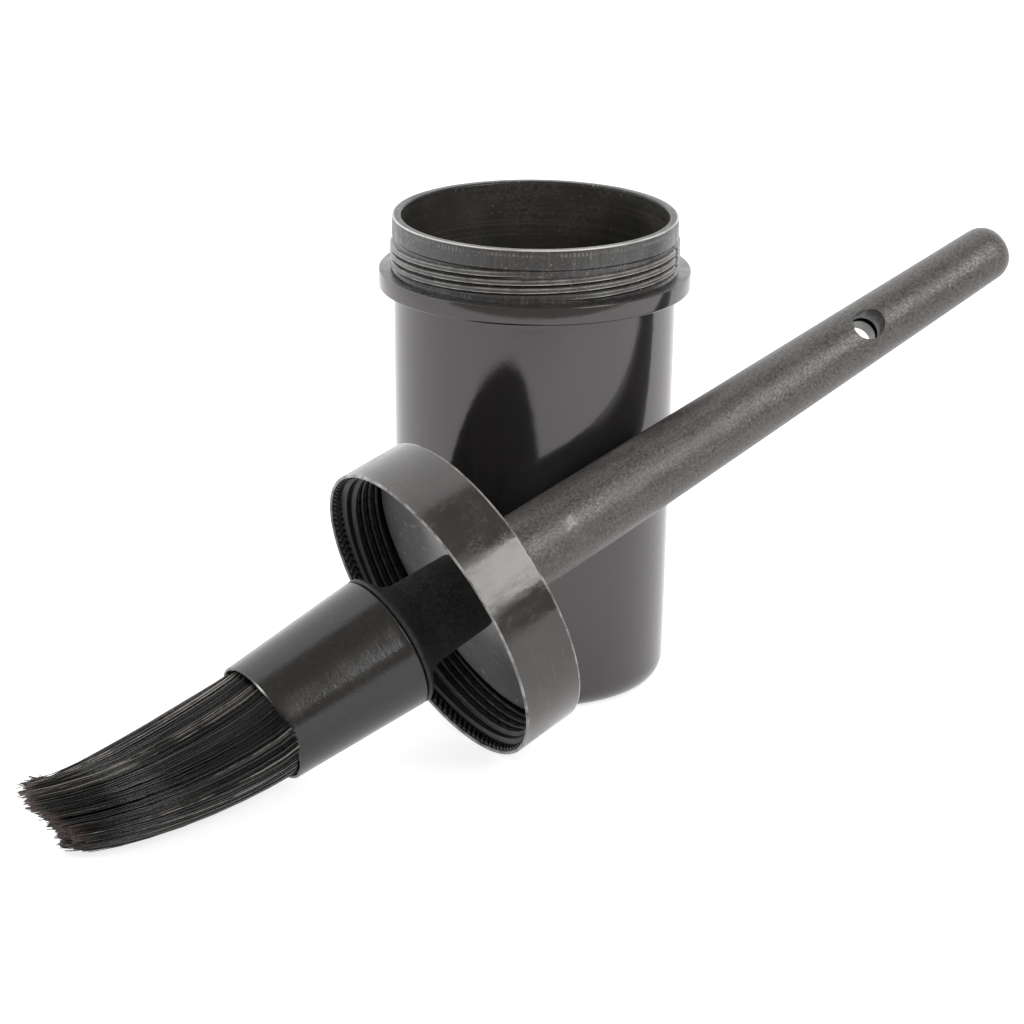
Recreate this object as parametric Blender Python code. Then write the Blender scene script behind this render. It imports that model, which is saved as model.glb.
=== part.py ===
"""Round brush set in the screw cap of its own jar, taken out and leaning against the jar.

The jar stands on z = 0 with its axis on the Z axis.  The brush is modelled about its own
axis (local +Z runs from the cap mouth to the tip of the handle) and placed by one matrix,
so that its cap stands on the floor, its handle leans on the jar and its bristles lie flat.
"""
import math

import bmesh
import bpy
from mathutils import Matrix, Vector
from mathutils.geometry import delaunay_2d_cdt

# Fits
PIECE_GAP = 0.0003
FLOOR_GAP = 0.0004

# Jar
JAR_HEIGHT = 0.1094
JAR_WALL = 0.0021
JAR_FLOOR = 0.0025
LIP_RADIUS = 0.0326
NECK_RADIUS = 0.0323
BODY_TOP_RADIUS = 0.03205
BODY_FOOT_RADIUS = 0.0303
BASE_ROUND = 0.0062
FLANGE_RADIUS = 0.0355
FLANGE_THICKNESS = 0.0041
NECK_HEIGHT = 0.0125
EDGE_ROUND = 0.0004

# Cap, measured from the plane of its mouth
CAP_MOUTH_RADIUS = 0.0362
CAP_TOP_RADIUS = 0.0356
CAP_DEPTH = 0.0154
CAP_TOP_THICKNESS = 0.0021
CAP_EDGE_ROUND = 0.0011
CAP_BORE_RADIUS = 0.0338
CAP_LIP_WALL = 0.0008
CAP_LIP_DEPTH = 0.0026
SEAL_THICKNESS = 0.0010

# Handle
HANDLE_LENGTH = 0.1503
HANDLE_ROOT_RADIUS = 0.0095
HANDLE_TIP_RADIUS = 0.00635
HANDLE_WALL = 0.0020
TIP_DOME = 0.0060
TIP_BLUNTNESS = 0.86
HANG_HOLE_RADIUS = 0.0036
HANG_HOLE_FROM_TIP = 0.0414
HANG_HOLE_ROLL = math.radians(52.0)

# Stem that carries the brush head
STEM_ROOT_RADIUS = 0.0099
STEM_END_RADIUS = 0.00935
STEM_END_ROUND = 0.0011
FLARE_RADIUS = 0.0080
COLLAR_RADIUS = 0.01575
COLLAR_THICKNESS = 0.0013
COLLAR_SETBACK = 0.0101
STUD_LENGTH = 0.0190
SPIGOT_LENGTH = 0.0120

# Ferrule
FERRULE_LENGTH = 0.0341
FERRULE_MOUTH_RADIUS = 0.01425
FERRULE_WALL = 0.0007
FERRULE_BEVEL = 0.0003

# Bristles
BRISTLE_COUNT = 300
BRISTLE_REACH = 0.0577
BRISTLE_DRIFT = 0.0143
BRISTLE_TIP_HEIGHT = 0.0075
BRISTLE_LEAD = 0.0093
BRISTLE_RUN_OUT = 0.0245
BRISTLE_END_SWING = math.radians(5.4)
BRISTLE_END_DIP = math.radians(10.0)
BRISTLE_MID_SPREAD = 1.30
BRISTLE_END_SPREAD = 1.06
BRISTLE_MID_DEPTH = 0.92
BRISTLE_END_DEPTH = 0.59
BRISTLE_RADIUS = 0.00042
BRISTLE_TIP_RADIUS = 0.00026
BRISTLE_SLANT = 0.24
BRISTLE_SIDE_SLANT = 0.27
BRISTLE_STATIONS = 4
SLICE_THICKNESS = 0.0020
SLICE_INSET = 0.0010

# Pose of the brush
LEAN_ANGLE = math.radians(23.5)
CAP_CLEARANCE = 0.0004

# Facets
JAR_SEGMENTS = 72
CAP_SEGMENTS = 72
HANDLE_SEGMENTS = 40
HEAD_SEGMENTS = 48

# Levels along the brush axis
CAP_INNER_TOP = CAP_DEPTH - CAP_TOP_THICKNESS
SEAL_TOP = CAP_INNER_TOP - PIECE_GAP
SEAL_FACE = SEAL_TOP - SEAL_THICKNESS
STEM_END = SEAL_FACE - PIECE_GAP
HANDLE_ROOT = CAP_DEPTH + PIECE_GAP
HANDLE_TIP = HANDLE_ROOT + HANDLE_LENGTH
HANG_HOLE = HANDLE_TIP - HANG_HOLE_FROM_TIP
CORE_END = HANG_HOLE - HANG_HOLE_RADIUS - HANDLE_WALL
COLLAR_TOP = -COLLAR_SETBACK
COLLAR_SEAM = COLLAR_TOP - COLLAR_THICKNESS
FERRULE_TOP = COLLAR_SEAM - PIECE_GAP
FERRULE_MOUTH = FERRULE_TOP - FERRULE_LENGTH
SPIGOT_END = FERRULE_TOP - SPIGOT_LENGTH
SET_TOP = SPIGOT_END - PIECE_GAP
SLICE_FACE = FERRULE_MOUTH + SLICE_INSET
SLICE_BACK = SLICE_FACE + SLICE_THICKNESS
SET_FACE = SLICE_BACK + PIECE_GAP
CORE_RADIUS = HANDLE_ROOT_RADIUS - HANDLE_WALL
STUD_RADIUS = CORE_RADIUS - 2.0 * PIECE_GAP
STUD_BORE_RADIUS = STUD_RADIUS + PIECE_GAP


def clear_scene():
    for item in list(bpy.data.objects):
        bpy.data.objects.remove(item, do_unlink=True)


def plastic(name, colour, roughness):
    material = bpy.data.materials.new(name)
    material.use_nodes = True
    shader = material.node_tree.nodes["Principled BSDF"]
    shader.inputs["Base Color"].default_value = (*colour, 1.0)
    shader.inputs["Roughness"].default_value = roughness
    material.diffuse_color = (*colour, 1.0)
    return material


def add_object(name, mesh, material, placement):
    item = bpy.data.objects.new(name, mesh)
    bpy.context.collection.objects.link(item)
    item.data.materials.append(material)
    item.matrix_world = placement
    return item


def arc(centre_r, centre_z, radius, start, end, steps):
    """Profile points on a circular arc, with angles in degrees from the +r direction."""
    points = []
    for i in range(steps + 1):
        angle = math.radians(start + (end - start) * i / steps)
        points.append((centre_r + radius * math.cos(angle), centre_z + radius * math.sin(angle)))
    return points


def lathe_mesh(name, profile, segments):
    """Turn a closed profile of (radius, height) points about local Z into a closed mesh."""
    bm = bmesh.new()
    rings = []
    for radius, height in profile:
        if radius < 1e-9:
            rings.append([bm.verts.new((0.0, 0.0, height))])
            continue
        ring = []
        for i in range(segments):
            angle = 2.0 * math.pi * i / segments
            ring.append(bm.verts.new((radius * math.cos(angle), radius * math.sin(angle), height)))
        rings.append(ring)
    for k, lower in enumerate(rings):
        upper = rings[(k + 1) % len(rings)]
        if len(lower) == 1 and len(upper) == 1:
            continue
        for i in range(segments):
            j = (i + 1) % segments
            if len(lower) == 1:
                bm.faces.new((lower[0], upper[j], upper[i]))
            elif len(upper) == 1:
                bm.faces.new((lower[i], lower[j], upper[0]))
            else:
                bm.faces.new((lower[i], lower[j], upper[j], upper[i]))
    bmesh.ops.recalc_face_normals(bm, faces=bm.faces)
    mesh = bpy.data.meshes.new(name)
    bm.to_mesh(mesh)
    bm.free()
    return mesh


def body_radius(height):
    """Outside radius of the tapered jar body at a height above the floor."""
    top = JAR_HEIGHT - NECK_HEIGHT - FLANGE_THICKNESS
    return BODY_FOOT_RADIUS + (BODY_TOP_RADIUS - BODY_FOOT_RADIUS) * height / top


def handle_radius(level):
    """Outside radius of the tapered handle at a level along the brush axis."""
    share = (level - HANDLE_ROOT) / (HANDLE_TIP - TIP_DOME - HANDLE_ROOT)
    return HANDLE_ROOT_RADIUS + (HANDLE_TIP_RADIUS - HANDLE_ROOT_RADIUS) * share


def ferrule_radius(level):
    """Outside radius of the tapered ferrule at a level along the brush axis."""
    share = (FERRULE_TOP - level) / FERRULE_LENGTH
    return COLLAR_RADIUS + (FERRULE_MOUTH_RADIUS - COLLAR_RADIUS) * share


def ferrule_bore(level):
    return ferrule_radius(level) - FERRULE_WALL


def bundle_radius():
    """Radius that holds the middle of every bristle where it leaves the ferrule."""
    return ferrule_bore(FERRULE_MOUTH) - PIECE_GAP - 1.8 * BRISTLE_RADIUS


def cap_radius(level):
    return CAP_MOUTH_RADIUS + (CAP_TOP_RADIUS - CAP_MOUTH_RADIUS) * level / CAP_DEPTH


def jar_profile():
    flange_top = JAR_HEIGHT - NECK_HEIGHT
    flange_foot = flange_top - FLANGE_THICKNESS
    foot_angle = math.degrees(math.atan((BODY_TOP_RADIUS - BODY_FOOT_RADIUS) / flange_foot))
    round_r = BODY_FOOT_RADIUS - BASE_ROUND
    inner_round = BASE_ROUND - JAR_WALL
    points = [(0.0, 0.0)]
    points += arc(round_r, BASE_ROUND, BASE_ROUND, -90.0, -foot_angle, 6)
    points += [(body_radius(flange_foot), flange_foot)]
    points += arc(FLANGE_RADIUS - EDGE_ROUND, flange_foot + EDGE_ROUND, EDGE_ROUND, -90.0, 0.0, 2)
    points += arc(FLANGE_RADIUS - EDGE_ROUND, flange_top - EDGE_ROUND, EDGE_ROUND, 0.0, 90.0, 2)
    points += [(NECK_RADIUS, flange_top)]
    points += arc(LIP_RADIUS - EDGE_ROUND, JAR_HEIGHT - EDGE_ROUND, EDGE_ROUND, 0.0, 90.0, 3)
    points += [(LIP_RADIUS - JAR_WALL, JAR_HEIGHT)]
    points += [(body_radius(flange_foot) - JAR_WALL, flange_foot)]
    points += arc(round_r, JAR_FLOOR + inner_round, inner_round, 0.0, -90.0, 5)
    points += [(0.0, JAR_FLOOR)]
    return points


def cap_profile():
    top_r = cap_radius(CAP_DEPTH - CAP_EDGE_ROUND) - CAP_EDGE_ROUND
    recess_r = CAP_MOUTH_RADIUS - CAP_LIP_WALL
    step = recess_r - CAP_BORE_RADIUS
    points = [(recess_r, EDGE_ROUND)]
    points += arc(recess_r + EDGE_ROUND, EDGE_ROUND, EDGE_ROUND, 180.0, 270.0, 2)[1:]
    points += arc(CAP_MOUTH_RADIUS - EDGE_ROUND, EDGE_ROUND, EDGE_ROUND, 270.0, 360.0, 2)[1:]
    points += arc(top_r, CAP_DEPTH - CAP_EDGE_ROUND, CAP_EDGE_ROUND, 0.0, 90.0, 4)
    points += [(STUD_BORE_RADIUS, CAP_DEPTH)]
    points += [(STUD_BORE_RADIUS, CAP_INNER_TOP)]
    points += [(CAP_BORE_RADIUS, CAP_INNER_TOP)]
    points += [(CAP_BORE_RADIUS, CAP_LIP_DEPTH + step)]
    points += [(recess_r, CAP_LIP_DEPTH)]
    return points


def seal_profile():
    outer = CAP_BORE_RADIUS - PIECE_GAP
    return [(STUD_BORE_RADIUS, SEAL_FACE), (outer, SEAL_FACE), (outer, SEAL_TOP), (STUD_BORE_RADIUS, SEAL_TOP)]


def handle_profile():
    dome_level = HANDLE_TIP - TIP_DOME
    core_end = handle_radius(CORE_END) - HANDLE_WALL
    points = [(CORE_RADIUS, HANDLE_ROOT)]
    points += [(HANDLE_ROOT_RADIUS - EDGE_ROUND, HANDLE_ROOT)]
    points += [(HANDLE_ROOT_RADIUS, HANDLE_ROOT + EDGE_ROUND)]
    for share in (0.25, 0.5, 0.75):
        level = HANDLE_ROOT + (dome_level - HANDLE_ROOT) * share
        points += [(handle_radius(level), level)]
    for i in range(7):
        angle = math.pi / 2.0 * i / 7
        radius = HANDLE_TIP_RADIUS * math.cos(angle) ** TIP_BLUNTNESS
        points += [(radius, dome_level + TIP_DOME * math.sin(angle) ** TIP_BLUNTNESS)]
    points += [(0.0, HANDLE_TIP)]
    points += arc(0.0, CORE_END - core_end, core_end, 90.0, 0.0, 4)
    return points


def stem_profile():
    flare_centre_r = STEM_ROOT_RADIUS + FLARE_RADIUS
    flare_centre_z = COLLAR_TOP + FLARE_RADIUS
    shoulder = STEM_END - STEM_END_ROUND
    flare = arc(flare_centre_r, flare_centre_z, FLARE_RADIUS, 270.0, 180.0, 7)
    points = [(0.0, SPIGOT_END)]
    points += [(ferrule_bore(SPIGOT_END) - PIECE_GAP, SPIGOT_END)]
    points += [(ferrule_bore(COLLAR_SEAM) - PIECE_GAP, COLLAR_SEAM)]
    points += arc(COLLAR_RADIUS - EDGE_ROUND, COLLAR_SEAM + EDGE_ROUND, EDGE_ROUND, -90.0, 0.0, 2)
    points += arc(COLLAR_RADIUS - EDGE_ROUND, COLLAR_TOP - EDGE_ROUND, EDGE_ROUND, 0.0, 90.0, 2)
    points += [point for point in flare if point[0] < COLLAR_RADIUS - EDGE_ROUND]
    points += arc(STEM_END_RADIUS - STEM_END_ROUND, shoulder, STEM_END_ROUND, 0.0, 90.0, 4)
    points += [(STUD_RADIUS, STEM_END)]
    points += [(STUD_RADIUS, HANDLE_ROOT + STUD_LENGTH - 2.0 * EDGE_ROUND)]
    points += [(STUD_RADIUS - 2.0 * EDGE_ROUND, HANDLE_ROOT + STUD_LENGTH)]
    points += [(0.0, HANDLE_ROOT + STUD_LENGTH)]
    return points


def ferrule_profile():
    bevel_level = FERRULE_MOUTH + 2.0 * FERRULE_BEVEL
    top_edge = FERRULE_TOP - EDGE_ROUND
    points = [(ferrule_bore(FERRULE_MOUTH), FERRULE_MOUTH)]
    points += [(FERRULE_MOUTH_RADIUS - FERRULE_BEVEL, FERRULE_MOUTH)]
    points += [(ferrule_radius(bevel_level), bevel_level)]
    points += [(ferrule_radius(top_edge), top_edge)]
    points += [(COLLAR_RADIUS - EDGE_ROUND, FERRULE_TOP)]
    points += [(ferrule_bore(FERRULE_TOP), FERRULE_TOP)]
    return points


def set_profile():
    top = ferrule_bore(SET_TOP) - PIECE_GAP
    face = ferrule_bore(SET_FACE) - PIECE_GAP
    return [(0.0, SET_FACE), (face, SET_FACE), (top, SET_TOP), (0.0, SET_TOP)]


def brush_placement():
    """Matrix that leans the brush: cap on the floor, handle on the jar, cap edge clear of the jar."""
    cos_lean = math.cos(LEAN_ANGLE)
    sin_lean = math.sin(LEAN_ANGLE)
    mouth_z = (CAP_MOUTH_RADIUS - EDGE_ROUND) * cos_lean + EDGE_ROUND * (1.0 - sin_lean)

    def axis_offset(mouth_x):
        level = -mouth_x / cos_lean
        height = mouth_z + level * sin_lean
        return body_radius(height) + handle_radius(level) + PIECE_GAP

    def cap_clearance(mouth_x):
        offset = axis_offset(mouth_x)
        least = 1.0
        for level, radius in ((CAP_DEPTH, CAP_TOP_RADIUS), (CAP_DEPTH - CAP_EDGE_ROUND, CAP_TOP_RADIUS)):
            for i in range(181):
                turn = math.pi * i / 180
                x = mouth_x + level * cos_lean + radius * math.cos(turn) * sin_lean
                y = radius * math.sin(turn) - offset
                z = mouth_z + level * sin_lean - radius * math.cos(turn) * cos_lean
                if z < JAR_HEIGHT - NECK_HEIGHT:
                    least = min(least, math.hypot(x, y) - body_radius(max(z, 0.0)))
        return least

    near = -CAP_DEPTH
    far = -2.0 * (BODY_TOP_RADIUS + CAP_MOUTH_RADIUS)
    for _ in range(50):
        middle = 0.5 * (near + far)
        if cap_clearance(middle) < CAP_CLEARANCE:
            near = middle
        else:
            far = middle
    turn = Matrix.Rotation(math.pi / 2.0 - LEAN_ANGLE, 4, "Y")
    return Matrix.Translation((far, -axis_offset(far), mouth_z)) @ turn


def strand_path(placement, across, upward):
    """Stations of one bristle, in row coordinates, with a sideways direction at each one.

    across and upward give the bristle's place on the face of the slice: along row Y, and
    along the upper side of the brush.  The bundle bends up from the floor and away from the
    jar, spreads sideways, and gets flatter where it lies on the floor.
    """
    root = placement @ Vector((0.0, 0.0, SLICE_FACE))
    axis = (placement.to_3x3() @ Vector((0.0, 0.0, -1.0))).normalized()
    leave = root + axis * BRISTLE_LEAD
    tip = Vector((root.x - BRISTLE_REACH, root.y - BRISTLE_DRIFT, BRISTLE_TIP_HEIGHT))
    level_run = math.cos(BRISTLE_END_DIP)
    end_way = Vector((-level_run * math.cos(BRISTLE_END_SWING), level_run * math.sin(BRISTLE_END_SWING), 0.0))
    end_way.z = -math.sin(BRISTLE_END_DIP)
    arrive = tip - end_way * BRISTLE_RUN_OUT
    bundle = bundle_radius()
    length = 1.0 + (BRISTLE_SLANT * upward + BRISTLE_SIDE_SLANT * across) / BRISTLE_REACH
    stations = []
    for i in range(BRISTLE_STATIONS):
        t = length * i / (BRISTLE_STATIONS - 1)
        s = 1.0 - t
        centre = root * s ** 3 + leave * 3.0 * s * s * t + arrive * 3.0 * s * t * t + tip * t ** 3
        along = ((leave - root) * s * s + (arrive - leave) * 2.0 * s * t + (tip - arrive) * t * t).normalized()
        side = Vector((0.0, 1.0, 0.0))
        side = (side - along * side.dot(along)).normalized()
        above = side.cross(along).normalized()
        wide = s * s + 2.0 * s * t * BRISTLE_MID_SPREAD + t * t * BRISTLE_END_SPREAD
        deep = s * s + 2.0 * s * t * BRISTLE_MID_DEPTH + t * t * BRISTLE_END_DEPTH
        room = (centre.z - FLOOR_GAP - BRISTLE_RADIUS) / (bundle * above.z)
        stations.append((centre + side * across * wide + above * upward * min(deep, room), side, above))
    return stations


def bristle_mesh(name, placement):
    """Bristles fused to the slice of resin they grow from, as one closed mesh in row coordinates."""
    inner = bundle_radius()
    golden = math.pi * (3.0 - math.sqrt(5.0))
    roots = []
    for i in range(BRISTLE_COUNT):
        radius = inner * math.sqrt((i + 0.5) / BRISTLE_COUNT)
        roots.append((radius * math.cos(golden * i), radius * math.sin(golden * i)))
    rim_radius = ferrule_bore(SLICE_FACE) - PIECE_GAP
    outline = []
    for i in range(HEAD_SEGMENTS):
        angle = 2.0 * math.pi * i / HEAD_SEGMENTS
        outline.append((rim_radius * math.cos(angle), rim_radius * math.sin(angle)))

    # Flat points are (across, upward), so the local place is (-upward, across)
    points = [Vector(place) for place in outline]
    edges = [(i, (i + 1) % HEAD_SEGMENTS) for i in range(HEAD_SEGMENTS)]
    for k, (across, upward) in enumerate(roots):
        first = len(points)
        for i in range(3):
            angle = golden * k + 2.0 * math.pi * i / 3
            offset = Vector((math.cos(angle), math.sin(angle))) * BRISTLE_RADIUS
            points.append(Vector((across, upward)) + offset)
        edges += [(first, first + 1), (first + 1, first + 2), (first + 2, first)]
    flat, _, faces, _, _, _ = delaunay_2d_cdt(points, edges, [], 1, 1e-9)
    bristle_triangles = {frozenset(range(i, i + 3)) for i in range(HEAD_SEGMENTS, len(points), 3)}

    bm = bmesh.new()
    front = [bm.verts.new(placement @ Vector((-p.y, p.x, SLICE_FACE))) for p in flat]
    for face in faces:
        if frozenset(face) not in bristle_triangles:
            bm.faces.new([front[i] for i in face])
    back = [bm.verts.new(placement @ Vector((-v, u, SLICE_BACK))) for u, v in outline]
    for i in range(HEAD_SEGMENTS):
        j = (i + 1) % HEAD_SEGMENTS
        bm.faces.new((front[i], front[j], back[j], back[i]))
    bm.faces.new(back)

    for k, (across, upward) in enumerate(roots):
        first = HEAD_SEGMENTS + 3 * k
        lower = front[first:first + 3]
        stations = strand_path(placement, across, upward)
        for s, (centre, side, above) in enumerate(stations[1:], 1):
            share = s / (BRISTLE_STATIONS - 1)
            radius = BRISTLE_RADIUS + (BRISTLE_TIP_RADIUS - BRISTLE_RADIUS) * share
            ring = []
            for i in range(3):
                angle = golden * k + 2.0 * math.pi * i / 3
                ring.append(bm.verts.new(centre + (side * math.cos(angle) + above * math.sin(angle)) * radius))
            for i in range(3):
                j = (i + 1) % 3
                bm.faces.new((lower[i], lower[j], ring[j], ring[i]))
            lower = ring
        bm.faces.new(lower)
    bmesh.ops.recalc_face_normals(bm, faces=bm.faces)
    mesh = bpy.data.meshes.new(name)
    bm.to_mesh(mesh)
    bm.free()
    return mesh


def cut_hang_hole(handle, placement):
    """Drill the hanging hole across the handle, beyond the end of its core."""
    reach = 2.0 * HANDLE_ROOT_RADIUS
    profile = [(0.0, -reach), (HANG_HOLE_RADIUS, -reach), (HANG_HOLE_RADIUS, reach), (0.0, reach)]
    mesh = lathe_mesh("hang_hole_cutter", profile, 32)
    aim = Vector((math.cos(HANG_HOLE_ROLL), math.sin(HANG_HOLE_ROLL), 0.0)).to_track_quat("Z", "X")
    cutter = bpy.data.objects.new("hang_hole_cutter", mesh)
    bpy.context.collection.objects.link(cutter)
    cutter.matrix_world = placement @ Matrix.Translation((0.0, 0.0, HANG_HOLE)) @ aim.to_matrix().to_4x4()
    cutter.hide_render = True
    cutter.display_type = "WIRE"
    drill = handle.modifiers.new("hang_hole", "BOOLEAN")
    drill.operation = "DIFFERENCE"
    drill.solver = "EXACT"
    drill.object = cutter


def build():
    clear_scene()
    upright = Matrix.Identity(4)
    leaning = brush_placement()

    jar_black = plastic("jar_black_gloss", (0.012, 0.012, 0.013), 0.18)
    cap_black = plastic("cap_black_gloss", (0.012, 0.012, 0.012), 0.20)
    seal_grey = plastic("seal_grey", (0.10, 0.10, 0.10), 0.25)
    handle_grey = plastic("handle_matt_grey", (0.055, 0.052, 0.048), 0.60)
    stem_black = plastic("stem_matt_black", (0.014, 0.014, 0.014), 0.65)
    ferrule_black = plastic("ferrule_satin_black", (0.020, 0.020, 0.020), 0.32)
    resin = plastic("bristle_set_resin", (0.030, 0.028, 0.025), 0.50)
    bristle_black = plastic("bristle_black", (0.020, 0.018, 0.015), 0.55)

    add_object("jar", lathe_mesh("jar", jar_profile(), JAR_SEGMENTS), jar_black, upright)
    add_object("cap", lathe_mesh("cap", cap_profile(), CAP_SEGMENTS), cap_black, leaning)
    add_object("cap_seal", lathe_mesh("cap_seal", seal_profile(), CAP_SEGMENTS), seal_grey, leaning)
    handle_shape = lathe_mesh("handle", handle_profile(), HANDLE_SEGMENTS)
    handle = add_object("handle", handle_shape, handle_grey, leaning)
    cut_hang_hole(handle, leaning)
    add_object("stem", lathe_mesh("stem", stem_profile(), HEAD_SEGMENTS), stem_black, leaning)
    add_object("ferrule", lathe_mesh("ferrule", ferrule_profile(), HEAD_SEGMENTS), ferrule_black, leaning)
    add_object("bristle_set", lathe_mesh("bristle_set", set_profile(), HEAD_SEGMENTS), resin, leaning)
    add_object("bristles", bristle_mesh("bristles", leaning), bristle_black, upright)


build()
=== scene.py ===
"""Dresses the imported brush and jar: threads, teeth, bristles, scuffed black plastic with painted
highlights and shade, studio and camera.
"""
import math

import bpy
import numpy as np
from mathutils import Matrix, Vector


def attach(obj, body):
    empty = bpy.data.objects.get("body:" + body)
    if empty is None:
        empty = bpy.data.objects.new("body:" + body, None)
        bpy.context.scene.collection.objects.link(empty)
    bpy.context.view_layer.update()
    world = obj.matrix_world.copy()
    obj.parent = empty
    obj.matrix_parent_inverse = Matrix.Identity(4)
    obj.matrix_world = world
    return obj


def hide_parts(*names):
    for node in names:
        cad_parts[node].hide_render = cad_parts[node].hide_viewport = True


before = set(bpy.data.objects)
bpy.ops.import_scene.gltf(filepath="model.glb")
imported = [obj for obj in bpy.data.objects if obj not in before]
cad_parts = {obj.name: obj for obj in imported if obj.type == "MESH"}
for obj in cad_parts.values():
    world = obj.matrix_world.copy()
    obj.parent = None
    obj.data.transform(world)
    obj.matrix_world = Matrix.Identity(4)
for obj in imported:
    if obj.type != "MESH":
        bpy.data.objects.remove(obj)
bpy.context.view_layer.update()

MM = 0.001
SEED = 20

# Sizes shared with the solids, in metres
JAR_HEIGHT = 109.4 * MM
JAR_WALL = 2.1 * MM
JAR_FLOOR = 2.5 * MM
LIP_RADIUS = 32.6 * MM
BODY_TOP_RADIUS = 32.05 * MM
BODY_FOOT_RADIUS = 30.3 * MM
BASE_ROUND = 6.2 * MM
FLANGE_RADIUS = 35.5 * MM
FLANGE_THICKNESS = 4.1 * MM
NECK_HEIGHT = 12.5 * MM
FLANGE_TOP = JAR_HEIGHT - NECK_HEIGHT
FLANGE_FOOT = FLANGE_TOP - FLANGE_THICKNESS
BASE_FLAT_RADIUS = BODY_FOOT_RADIUS - BASE_ROUND
CAP_MOUTH_RADIUS = 36.2 * MM
CAP_TOP_RADIUS = 35.6 * MM
CAP_DEPTH = 15.4 * MM
CAP_INNER_TOP = 13.3 * MM
CAP_BORE_RADIUS = 33.8 * MM
CAP_LIP_WALL = 0.8 * MM
CAP_LIP_DEPTH = 2.6 * MM
SEAL_FACE = 12.0 * MM
SEAL_TOP = 13.0 * MM
STUD_BORE_RADIUS = 7.2 * MM
HANDLE_ROOT = 15.7 * MM
HANDLE_TIP = 166.0 * MM
HANDLE_ROOT_RADIUS = 9.5 * MM
HANDLE_TIP_RADIUS = 6.35 * MM
HANDLE_WALL = 2.0 * MM
TIP_DOME = 6.0 * MM
TIP_BLUNTNESS = 0.86
HANG_HOLE_RADIUS = 3.6 * MM
HANG_HOLE_LEVEL = 124.6 * MM
HANG_HOLE_ROLL = math.radians(52.0)
CORE_END = 119.0 * MM
STEM_END = 11.7 * MM
STEM_ROOT_RADIUS = 9.9 * MM
STEM_END_RADIUS = 9.35 * MM
STEM_END_ROUND = 1.1 * MM
STUD_RADIUS = 6.9 * MM
STUD_END = 34.7 * MM
FLARE_RADIUS = 8.0 * MM
COLLAR_RADIUS = 15.75 * MM
COLLAR_TOP = -10.1 * MM
COLLAR_SEAM = -11.4 * MM
FERRULE_TOP = -11.7 * MM
FERRULE_MOUTH = -45.8 * MM
FERRULE_MOUTH_RADIUS = 14.25 * MM
FERRULE_WALL = 0.7 * MM
SPIGOT_END = -23.7 * MM
SLICE_FACE = -44.8 * MM
SLICE_BACK = -42.8 * MM

# Edges, as sharp as the photo shows them
LIP_EDGE = 0.32 * MM
LIP_TOP = JAR_HEIGHT - LIP_EDGE
CAP_LIP_ROUND = 0.4 * MM
CAP_EDGE_ROUND = 0.6 * MM

# Pose of the brush, as the solids have it
LEAN_ANGLE = math.radians(23.5)
MOUTH_CENTRE = Vector((-51.443 * MM, -40.261 * MM, 33.071 * MM))
LEANING = Matrix.Translation(MOUTH_CENTRE) @ Matrix.Rotation(math.pi / 2.0 - LEAN_ANGLE, 4, "Y")
UPRIGHT = Matrix.Identity(4)

# Threads and teeth
PITCH = 1.9 * MM
THREAD_STARTS = 3
JAR_THREAD_START = math.radians(236.0)
JAR_THREAD_TOP = 103.8 * MM
JAR_THREAD_TURNS = 0.97
JAR_THREAD_HEIGHT = 0.85 * MM
NECK_ROOT_RADIUS = 32.1 * MM
NECK_FILLET = 0.5 * MM
BAND_FOOT = JAR_THREAD_TOP + 1.2 * MM
CAP_THREAD_START = math.radians(300.0)
CAP_THREAD_TURNS = 1.37
CAP_THREAD_FIRST = 4.0 * MM
CAP_THREAD_HEIGHT = 0.95 * MM
SEAM_ANGLE = math.radians(315.3)
CAP_TEETH = 120
TOOTH_DEPTH = 0.75 * MM
NECK_TICKS = 210

# Marks on the handle and the ferrule: a painted highlight streak and a scuff on the handle, and a painted
# glint on the ferrule's rim
HIGHLIGHT_STREAK_ANGLE = math.radians(243.0)
SCUFF_ANGLE = math.radians(238.0)
SCUFF_REACH = 9.1 * MM
SCUFF_LEVEL = 37.0 * MM
SCUFF_SIZE = 2.4 * MM
GLINT_ANGLE = math.radians(213.0)
GLINT_WIDTH = math.radians(6.5)

# Bristles, whose bundle follows one bend from the ferrule to the table
STRANDS = 3000
STATION_SHARES = np.array([0.0, 0.05, 0.14, 0.26, 0.39, 0.52, 0.65, 0.78, 0.89, 0.965, 1.0])
STATIONS = len(STATION_SHARES)
STRAND_RADIUS = 0.19 * MM
CLUMPS = 120
BUNDLE_RADIUS = 13.05 * MM
BUNDLE_REACH = 60.8 * MM
BUNDLE_DRIFT = 12.6 * MM
BUNDLE_TIP_HEIGHT = 7.9 * MM
BUNDLE_LEAD = 7.8 * MM
BUNDLE_RUN_OUT = 16.1 * MM
END_SWING = math.radians(48.7)
END_DIP = math.radians(8.6)
MID_SPREAD = 1.38
END_SPREAD = 0.80
MID_DEPTH = 0.87
END_DEPTH = 0.555
SLANT = 0.35
SIDE_SLANT = 0.35
FLOOR_GAP = 0.4 * MM
STRAY = 0.40 * MM
CALM_STRAY = 0.35
WILD_STRAY = 2.95
WILD_SHARE = 0.10
WAVE_HEIGHT = 0.22 * MM
TIP_TAPER = 0.45

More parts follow.
